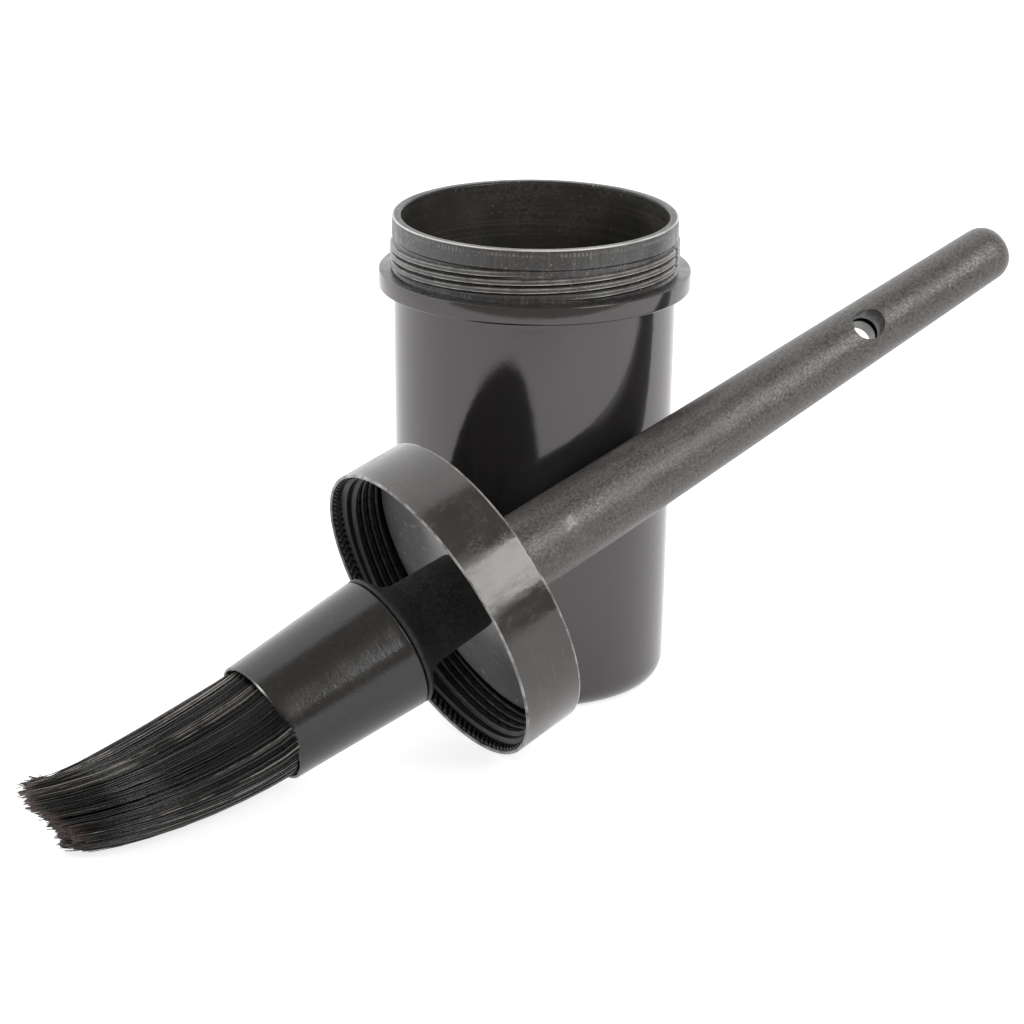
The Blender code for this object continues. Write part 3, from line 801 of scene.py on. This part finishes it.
def add_cap_outside(shell, angles):
    """From the lip up the side and over the top to the bore for the stud."""
    draft = (CAP_MOUTH_RADIUS - CAP_TOP_RADIUS) / CAP_DEPTH
    shoulder = CAP_DEPTH - CAP_EDGE_ROUND
    top_radius = CAP_MOUTH_RADIUS - draft * shoulder - CAP_EDGE_ROUND
    beside = 0.08 * MM
    bevel = 0.3 * MM
    lip = arc(CAP_MOUTH_RADIUS - CAP_LIP_ROUND, CAP_LIP_ROUND, CAP_LIP_ROUND, 270.0, 360.0, 5)
    # The lip's rounding takes the painted highlight
    for ring in turned(angles, lip):
        shell.add(ring, edge=1.0)
    for level in np.linspace(CAP_LIP_ROUND + beside, shoulder - beside, 9):
        shell.add(loop(angles, CAP_MOUTH_RADIUS - draft * level, level))
    # The rounded back edge takes the painted highlight too
    for ring in turned(angles, arc(top_radius, shoulder, CAP_EDGE_ROUND, 0.0, 90.0, 8)):
        shell.add(ring, edge=0.7)
    for radius in np.linspace(top_radius - 0.1 * MM, STUD_BORE_RADIUS + bevel, 7):
        shell.add(loop(angles, radius, CAP_DEPTH))
    shell.add(loop(angles, STUD_BORE_RADIUS, CAP_DEPTH - bevel))


def add_cap_thread(shell, angles):
    """Underside of the top and the threaded bore."""
    corner = 0.3 * MM
    lowest = CAP_THREAD_FIRST - 0.75 * MM
    top = CAP_THREAD_FIRST + PITCH * THREAD_STARTS * CAP_THREAD_TURNS
    shell.add(loop(angles, STUD_BORE_RADIUS, CAP_INNER_TOP))
    shell.add(loop(angles, CAP_BORE_RADIUS - corner, CAP_INNER_TOP))
    for level in np.linspace(CAP_INNER_TOP - corner, lowest, 84):
        ridge = helix_height(angles, level, CAP_THREAD_START, top, CAP_THREAD_TURNS, 0.20 * MM, 0.68 * MM)
        ring = loop(angles, CAP_BORE_RADIUS - ridge * CAP_THREAD_HEIGHT, level)
        # The thread crests take the painted highlight
        shell.add(ring, crest=smooth_step(ridge, 0.7, 1.0))


def add_cap_teeth(shell, angles):
    """Slanted teeth in the recess inside the lip, and the lip's inner edge.

    Gives back the number of the last ring that belongs to the inside.
    """
    recess = CAP_MOUTH_RADIUS - CAP_LIP_WALL
    bevel = 0.15 * MM
    fine = around(CAP_TEETH * 6)
    phase = fine * CAP_TEETH / math.tau
    shell.add(loop(angles, CAP_BORE_RADIUS + bevel, CAP_LIP_DEPTH + 0.45 * MM))
    shell.add(loop(angles, recess - bevel, CAP_LIP_DEPTH))
    for share in np.linspace(0.0, 1.0, 9):
        level = CAP_LIP_DEPTH - bevel - share * (CAP_LIP_DEPTH - 0.85 * MM)
        wave = np.abs(np.mod(phase + 0.9 * share, 1.0) - 0.5) * 2.0
        tooth = smooth_step(wave, 0.35, 0.8) * smooth_step(0.5 - abs(share - 0.5), 0.0, 0.12)
        # The tooth tips take the painted highlight
        shell.add(loop(fine, recess - tooth * TOOTH_DEPTH, level), crest=tooth * 0.8)
    shell.add(loop(angles, recess, 0.6 * MM))
    inside_last = len(shell.rings) - 1
    lip = arc(recess + CAP_LIP_ROUND, CAP_LIP_ROUND, CAP_LIP_ROUND, 180.0, 260.0, 4)
    # The lip's inner rounding takes the painted highlight
    for ring in turned(angles, lip):
        shell.add(ring, edge=1.0)
    return inside_last


def build_cap():
    angles = around(240)
    shell = PaintedRings("crest", "edge")
    add_cap_outside(shell, angles)
    inside_first = len(shell.rings)
    add_cap_thread(shell, angles)
    inside_last = add_cap_teeth(shell, angles)
    item, owners = shell.build("cap_shell", LEANING, smooth_angle=50.0)
    item.data.materials.append(cap_gloss())
    item.data.materials.append(cap_inside())
    inner = (owners >= inside_first) & (owners < inside_last)
    item.data.polygons.foreach_set("material_index", inner.astype(np.int32))
    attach(item, "brush")
    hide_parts("cap")


def build_seal():
    angles = around(192)
    outer = CAP_BORE_RADIUS - 1.05 * MM
    edge = 0.2 * MM
    margin = 2.0 * MM
    profile = [(STUD_BORE_RADIUS, SEAL_FACE)]
    for radius in np.linspace(STUD_BORE_RADIUS + margin, outer - margin, 10):
        profile.append((radius, SEAL_FACE))
    profile += arc(outer - edge, SEAL_FACE + edge, edge, -90.0, 0.0, 3)
    profile += arc(outer - edge, SEAL_TOP - edge, edge, 0.0, 90.0, 3)
    profile += [(STUD_BORE_RADIUS, SEAL_TOP)]
    disc = PaintedRings("hub")
    for radius, level in profile:
        # The liner is painted lighter round the stem, a painted reflection
        disc.add(loop(angles, radius, level), hub=1.0 - smooth_step(radius, 9.0 * MM, 19.0 * MM))
    item, _ = disc.build("cap_liner", LEANING)
    item.data.materials.append(seal_gloss())
    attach(item, "brush")
    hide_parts("cap_seal")


# Handle

def handle_radius(level):
    share = (level - HANDLE_ROOT) / (HANDLE_TIP - TIP_DOME - HANDLE_ROOT)
    return HANDLE_ROOT_RADIUS + (HANDLE_TIP_RADIUS - HANDLE_ROOT_RADIUS) * share


def handle_profile():
    """From the root up the outside, over the domed tip and back down to the blind end of the core."""
    dome = HANDLE_TIP - TIP_DOME
    edge = 0.5 * MM
    core = handle_radius(CORE_END) - HANDLE_WALL
    profile = [(HANDLE_ROOT_RADIUS - HANDLE_WALL, HANDLE_ROOT)]
    profile += arc(HANDLE_ROOT_RADIUS - edge, HANDLE_ROOT + edge, edge, -90.0, 0.0, 4)
    profile += [(handle_radius(level), level) for level in np.linspace(HANDLE_ROOT + 1.5 * MM, dome, 90)]
    for turn in np.linspace(0.0, 90.0, 15)[1:-1]:
        angle = math.radians(turn)
        radius = HANDLE_TIP_RADIUS * math.cos(angle) ** TIP_BLUNTNESS
        profile.append((radius, dome + TIP_DOME * math.sin(angle) ** TIP_BLUNTNESS))
    profile += [(0.0, HANDLE_TIP)]
    profile += arc(0.0, CORE_END - core, core, 90.0, 0.0, 6)
    return profile


def hole_cutter():
    """Tool for the hanging hole, with a small countersink at each end."""
    outside = handle_radius(HANG_HOLE_LEVEL)
    wide = HANG_HOLE_RADIUS * 1.6
    rim = HANG_HOLE_RADIUS + 0.3 * MM
    sink = outside - 0.7 * MM
    far = 2.0 * outside
    profile = [(0.0, -far), (wide, -far), (rim, -outside), (HANG_HOLE_RADIUS, -sink)]
    profile += [(HANG_HOLE_RADIUS - 0.1 * MM, 0.0)]
    profile += [(HANG_HOLE_RADIUS, sink), (rim, outside), (wide, far), (0.0, far)]
    aim = Vector((math.cos(HANG_HOLE_ROLL), math.sin(HANG_HOLE_ROLL), 0.0)).to_track_quat("Z", "X")
    place = LEANING @ Matrix.Translation((0.0, 0.0, HANG_HOLE_LEVEL)) @ aim.to_matrix().to_4x4()
    cutter, _ = ring_object("hang_hole_cutter", turned(around(64), profile), place)
    return cutter


def build_handle():
    item, _ = ring_object("handle_grip", turned(around(120), handle_profile()), LEANING)
    cutter = hole_cutter()
    drill = item.modifiers.new("hang_hole", "BOOLEAN")
    drill.operation = "DIFFERENCE"
    drill.solver = "EXACT"
    drill.object = cutter
    bpy.context.view_layer.update()
    shaped = bpy.data.meshes.new_from_object(item.evaluated_get(bpy.context.evaluated_depsgraph_get()))
    item.modifiers.clear()
    item.data = shaped
    shaped.name = "handle_grip"
    bpy.data.objects.remove(cutter, do_unlink=True)
    shaped.shade_smooth()
    shaped.set_sharp_from_angle(angle=math.radians(28.0))
    shaped.materials.clear()
    shaped.materials.append(handle_matt())
    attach(item, "brush")
    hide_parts("handle")


# Brush head

def ferrule_radius(level):
    share = (FERRULE_TOP - level) / (FERRULE_TOP - FERRULE_MOUTH)
    return COLLAR_RADIUS + (FERRULE_MOUTH_RADIUS - COLLAR_RADIUS) * share


def build_stem():
    angles = around(128)
    edge = 0.45 * MM
    gap = 0.3 * MM
    shoulder = STEM_END - STEM_END_ROUND
    flare_r = STEM_ROOT_RADIUS + FLARE_RADIUS
    flare = arc(flare_r, COLLAR_TOP + FLARE_RADIUS, FLARE_RADIUS, 268.0, 180.0, 18)
    profile = [(0.0, SPIGOT_END), (ferrule_radius(SPIGOT_END) - FERRULE_WALL - gap, SPIGOT_END)]
    profile += [(ferrule_radius(COLLAR_SEAM) - FERRULE_WALL - gap, COLLAR_SEAM)]
    profile += arc(COLLAR_RADIUS - edge, COLLAR_SEAM + edge, edge, -90.0, 0.0, 4)
    profile += arc(COLLAR_RADIUS - edge, COLLAR_TOP - edge, edge, 0.0, 90.0, 4)
    profile += [point for point in flare if point[0] < COLLAR_RADIUS - edge]
    for share in np.linspace(0.15, 0.9, 6):
        level = COLLAR_TOP + FLARE_RADIUS + (shoulder - COLLAR_TOP - FLARE_RADIUS) * share
        profile.append((STEM_ROOT_RADIUS + (STEM_END_RADIUS - STEM_ROOT_RADIUS) * share, level))
    profile += arc(STEM_END_RADIUS - STEM_END_ROUND, shoulder, STEM_END_ROUND, 0.0, 90.0, 8)
    profile += [(STUD_RADIUS, STEM_END), (STUD_RADIUS, STUD_END - 0.8 * MM)]
    profile += [(STUD_RADIUS - 0.8 * MM, STUD_END), (0.0, STUD_END)]
    item, _ = ring_object("stem_body", turned(angles, profile), LEANING)
    item.data.materials.append(stem_matt())
    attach(item, "brush")
    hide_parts("stem")


def build_ferrule():
    angles = around(144)
    bevel = 0.3 * MM
    inner_bevel = 0.15 * MM
    top_edge = 0.4 * MM
    beside = 0.08 * MM
    bore_mouth = FERRULE_MOUTH_RADIUS - FERRULE_WALL
    # Painted glint: a bright spot on the mouth's rim at one angle
    painted_glint = np.exp(-((angles - GLINT_ANGLE) / GLINT_WIDTH) ** 2)
    mouth = [(bore_mouth, FERRULE_MOUTH + inner_bevel), (bore_mouth + inner_bevel, FERRULE_MOUTH)]
    mouth += arc(FERRULE_MOUTH_RADIUS - bevel, FERRULE_MOUTH + bevel, bevel, -90.0, 0.0, 6)
    tube = PaintedRings("edge", "glint")
    for ring in turned(angles, mouth):
        tube.add(ring, edge=0.8, glint=painted_glint)
    for level in np.linspace(FERRULE_MOUTH + bevel + beside, FERRULE_TOP - top_edge - beside, 20):
        tube.add(loop(angles, ferrule_radius(level), level))
    upper_rim = arc(COLLAR_RADIUS - top_edge, FERRULE_TOP - top_edge, top_edge, 0.0, 90.0, 4)
    for ring in turned(angles, upper_rim):
        tube.add(ring, edge=0.5)
    tube.add(loop(angles, COLLAR_RADIUS - FERRULE_WALL, FERRULE_TOP))
    item, _ = tube.build("ferrule_tube", LEANING)
    item.data.materials.append(ferrule_satin())
    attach(item, "brush")
    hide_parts("ferrule")


# Bristles

def unit(vectors):
    return vectors / np.linalg.norm(vectors, axis=-1, keepdims=True)


def bundle_frames(t):
    """Middle of the bundle at each t, with its sideways and upward directions there."""
    root = np.array(LEANING @ Vector((0.0, 0.0, SLICE_FACE)))
    axis = np.array(LEANING.to_3x3() @ Vector((0.0, 0.0, -1.0)))
    leave = root + axis * BUNDLE_LEAD
    tip = np.array([root[0] - BUNDLE_REACH, root[1] - BUNDLE_DRIFT, BUNDLE_TIP_HEIGHT])
    level = math.cos(END_DIP)
    end_way = np.array([-level * math.cos(END_SWING), level * math.sin(END_SWING), -math.sin(END_DIP)])
    arrive = tip - end_way * BUNDLE_RUN_OUT
    t = t[..., None]
    s = 1.0 - t
    centre = root * s ** 3 + leave * 3.0 * s * s * t + arrive * 3.0 * s * t * t + tip * t ** 3
    along = unit((leave - root) * s * s + (arrive - leave) * 2.0 * s * t + (tip - arrive) * t * t)
    side = unit(np.array([0.0, 1.0, 0.0]) - along * along[..., 1:2])
    return centre, side, np.cross(side, along)


def strand_paths(rng):
    """Points along every strand, with the bundle's sideways and upward directions at each."""
    index = np.arange(STRANDS)
    radius = BUNDLE_RADIUS * np.sqrt((index + 0.5) / STRANDS)
    turn = index * math.pi * (3.0 - math.sqrt(5.0))
    across = radius * np.cos(turn)
    upward = radius * np.sin(turn)

    # Strands draw together in tufts towards their tips, and the tufts end unevenly
    pick = rng.choice(STRANDS, CLUMPS, replace=False)
    spread = (across[:, None] - across[pick]) ** 2 + (upward[:, None] - upward[pick]) ** 2
    tuft = np.argmin(spread, axis=1)
    owner = pick[tuft]
    pull = rng.uniform(0.10, 0.50, STRANDS)
    length = 0.99 + (SLANT * upward + SIDE_SLANT * across) / BUNDLE_REACH
    length += rng.normal(0.0, 0.010, STRANDS) + rng.normal(0.0, 0.010, CLUMPS)[tuft]
    t = STATION_SHARES[None, :] * length[:, None]
    centre, side, above = bundle_frames(t)
    wide = (1.0 - t) ** 2 + 2.0 * t * (1.0 - t) * MID_SPREAD + t * t * END_SPREAD
    deep = (1.0 - t) ** 2 + 2.0 * t * (1.0 - t) * MID_DEPTH + t * t * END_DEPTH
    room = (centre[..., 2] - FLOOR_GAP - STRAND_RADIUS) / (BUNDLE_RADIUS * above[..., 2])
    gather = smooth_step(t, 0.40, 1.05) * pull[:, None]
    u = across[:, None] * (1.0 - gather) + across[owner][:, None] * gather
    v = upward[:, None] * (1.0 - gather) + upward[owner][:, None] * gather

    # A few strands stray far, and all of them wave a little
    stray = rng.normal(0.0, STRAY, (STRANDS, 2))
    stray *= np.where(rng.random(STRANDS) < WILD_SHARE, WILD_STRAY, CALM_STRAY)[:, None]
    wave = np.sin(t * rng.uniform(3.0, 8.0, STRANDS)[:, None] + rng.uniform(0.0, 6.3, STRANDS)[:, None])
    u = u + stray[:, 0:1] * t ** 2 + wave * smooth_step(t, 0.05, 0.8) * WAVE_HEIGHT
    v = v + stray[:, 1:2] * t ** 2
    path = centre + side * (u * wide)[..., None] + above * (v * np.minimum(deep, room))[..., None]
    path[..., 2] = np.maximum(path[..., 2], FLOOR_GAP)
    return path, side, above


def strand_faces():
    """Three sides and two ends of every strand."""
    faces = []
    per = STATIONS * 3
    for first in range(0, STRANDS * per, per):
        faces.append((first + 2, first + 1, first))
        for a in range(first, first + per - 3, 3):
            for k in range(3):
                j = (k + 1) % 3
                faces.append((a + k, a + j, a + 3 + j, a + 3 + k))
        last = first + per - 3
        faces.append((last, last + 1, last + 2))
    return faces


def build_bristles():
    rng = np.random.default_rng(SEED)
    path, side, above = strand_paths(rng)
    taper = 1.0 - TIP_TAPER * STATION_SHARES ** 3
    thick = STRAND_RADIUS * rng.uniform(0.8, 1.15, STRANDS)[:, None] * taper[None, :]
    spin = rng.uniform(0.0, math.tau, STRANDS)
    corners = (STRANDS, STATIONS, 3)
    vertices = np.zeros((*corners, 3))
    for k in range(3):
        angle = (spin + math.tau * k / 3.0)[:, None, None]
        vertices[:, :, k] = path + (side * np.cos(angle) + above * np.sin(angle)) * thick[..., None]
    mesh = bpy.data.meshes.new("bristle_knot")
    mesh.from_pydata(vertices.reshape(-1, 3).tolist(), [], strand_faces())
    if signed_volume(mesh) < 0.0:
        mesh.flip_normals()
    mesh.shade_smooth()
    item = bpy.data.objects.new("bristle_knot", mesh)
    bpy.context.collection.objects.link(item)
    paint(mesh, "along", np.broadcast_to(STATION_SHARES[None, :, None], corners).ravel())
    paint(mesh, "tint", np.broadcast_to(rng.random(STRANDS)[:, None, None], corners).ravel())
    mesh.materials.append(bristle_hair())
    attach(item, "brush")
    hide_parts("bristles")


def build_bed():
    """Face of the resin that the strands stand in."""
    radius = FERRULE_MOUTH_RADIUS - FERRULE_WALL - 0.1 * MM
    profile = [(0.0, SLICE_FACE), (radius, SLICE_FACE), (radius, SLICE_BACK), (0.0, SLICE_BACK)]
    bed, _ = ring_object("bristle_bed", turned(around(96), profile), LEANING)
    bed.data.materials.append(set_resin())
    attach(bed, "brush")


# Studio

def floor_white():
    """White ground: a diffuse grey that takes the shadow, and a glow for the camera and reflections."""
    material = bpy.data.materials.new("floor_white")
    material.use_nodes = True
    tree = material.node_tree
    tree.nodes.clear()
    output = new_node(tree, "ShaderNodeOutputMaterial")
    matt = new_node(tree, "ShaderNodeBsdfDiffuse")
    matt.inputs["Color"].default_value = (FLOOR_GREY, FLOOR_GREY, FLOOR_GREY, 1.0)
    glow = new_node(tree, "ShaderNodeEmission")
    path = new_node(tree, "ShaderNodeLightPath")
    seen = new_node(tree, "ShaderNodeMath", operation="MAXIMUM")
    scale = new_node(tree, "ShaderNodeMath", operation="MULTIPLY")
    scale.inputs[1].default_value = FLOOR_GLOW
    both = new_node(tree, "ShaderNodeAddShader")
    tree.links.new(path.outputs["Is Camera Ray"], seen.inputs[0])
    tree.links.new(path.outputs["Is Glossy Ray"], seen.inputs[1])
    tree.links.new(seen.outputs["Value"], scale.inputs[0])
    tree.links.new(scale.outputs["Value"], glow.inputs["Strength"])
    tree.links.new(matt.outputs["BSDF"], both.inputs[0])
    tree.links.new(glow.outputs["Emission"], both.inputs[1])
    tree.links.new(both.outputs["Shader"], output.inputs["Surface"])
    return material


def build_floor():
    """White table; its front edge lies just outside the picture, so that glossy pieces show it."""
    aside = Vector((-FLOOR_FRONT.y, FLOOR_FRONT.x, 0.0)) * FLOOR_HALF_WIDTH
    front = FLOOR_FRONT * FLOOR_FRONT_REACH
    back = FLOOR_FRONT * -FLOOR_BACK_REACH
    corners = [front + aside, front - aside, back - aside, back + aside]
    mesh = bpy.data.meshes.new("floor")
    mesh.from_pydata([corner[:] for corner in corners], [], [(3, 2, 1, 0)])
    item = bpy.data.objects.new("floor", mesh)
    bpy.context.collection.objects.link(item)
    mesh.materials.append(floor_white())


def build_room():
    """World that is bright behind the object, dim in front of it, and white to the camera."""
    world = bpy.data.worlds.new("studio")
    bpy.context.scene.world = world
    world.use_nodes = True
    tree = world.node_tree
    room = tree.nodes["Background"]
    place = new_node(tree, "ShaderNodeTexCoord")
    split = new_node(tree, "ShaderNodeSeparateXYZ")
    behind = new_node(tree, "ShaderNodeMapRange", interpolation_type="SMOOTHSTEP")
    behind.inputs["From Min"].default_value = ROOM_TURN_START
    behind.inputs["From Max"].default_value = ROOM_TURN_END
    tint = new_node(tree, "ShaderNodeMix", data_type="RGBA")
    tint.inputs["A"].default_value = ROOM_FRONT
    tint.inputs["B"].default_value = ROOM_BACK
    white = new_node(tree, "ShaderNodeBackground")
    white.inputs["Color"].default_value = WHITE
    path = new_node(tree, "ShaderNodeLightPath")
    pick = new_node(tree, "ShaderNodeMixShader")
    tree.links.new(place.outputs["Generated"], split.inputs["Vector"])
    tree.links.new(split.outputs["Y"], behind.inputs["Value"])
    tree.links.new(behind.outputs["Result"], tint.inputs["Factor"])
    tree.links.new(tint.outputs["Result"], room.inputs["Color"])
    tree.links.new(path.outputs["Is Camera Ray"], pick.inputs["Fac"])
    tree.links.new(room.outputs["Background"], pick.inputs[1])
    tree.links.new(white.outputs["Background"], pick.inputs[2])
    tree.links.new(pick.outputs["Shader"], tree.nodes["World Output"].inputs["Surface"])


def build_softbox():
    """The one lamp, to the right of the camera and above it."""
    lamp = bpy.data.lights.new("front_softbox", "AREA")
    lamp.shape = "RECTANGLE"
    lamp.size = SOFTBOX_WIDTH
    lamp.size_y = SOFTBOX_HEIGHT
    lamp.energy = SOFTBOX_POWER
    item = bpy.data.objects.new("front_softbox", lamp)
    bpy.context.collection.objects.link(item)
    item.location = SOFTBOX_TARGET + SOFTBOX_WAY * SOFTBOX_DISTANCE
    item.rotation_euler = (-SOFTBOX_WAY).to_track_quat("-Z", "Y").to_euler()


def build_camera():
    flat = math.cos(CAMERA_TILT)
    forward = Vector((flat * math.sin(CAMERA_YAW), flat * math.cos(CAMERA_YAW), -math.sin(CAMERA_TILT)))
    right = Vector((math.cos(CAMERA_YAW), -math.sin(CAMERA_YAW), 0.0))
    down = forward.cross(right)
    turned_right = right * math.cos(CAMERA_ROLL) + down * math.sin(CAMERA_ROLL)
    turned_down = down * math.cos(CAMERA_ROLL) - right * math.sin(CAMERA_ROLL)
    camera = bpy.data.cameras.new("camera")
    camera.lens = SENSOR_MILLIMETRES * FOCAL_PIXELS / PICTURE_PIXELS
    camera.sensor_width = SENSOR_MILLIMETRES
    camera.clip_end = 20.0
    item = bpy.data.objects.new("camera", camera)
    bpy.context.collection.objects.link(item)
    turn = Matrix((turned_right, -turned_down, -forward)).transposed()
    item.matrix_world = Matrix.Translation(CAMERA_PLACE) @ turn.to_4x4()
    bpy.context.scene.camera = item


build_jar()
build_cap()
build_seal()
build_handle()
build_stem()
build_ferrule()
build_bristles()
build_bed()

# The resin behind that face keeps its solid and takes the same material
resin_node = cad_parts["bristle_set"]
resin_node.data.materials.clear()
resin_node.data.materials.append(set_resin())

build_floor()
build_room()
build_softbox()
build_camera()

bpy.context.scene.view_settings.view_transform = "Standard"
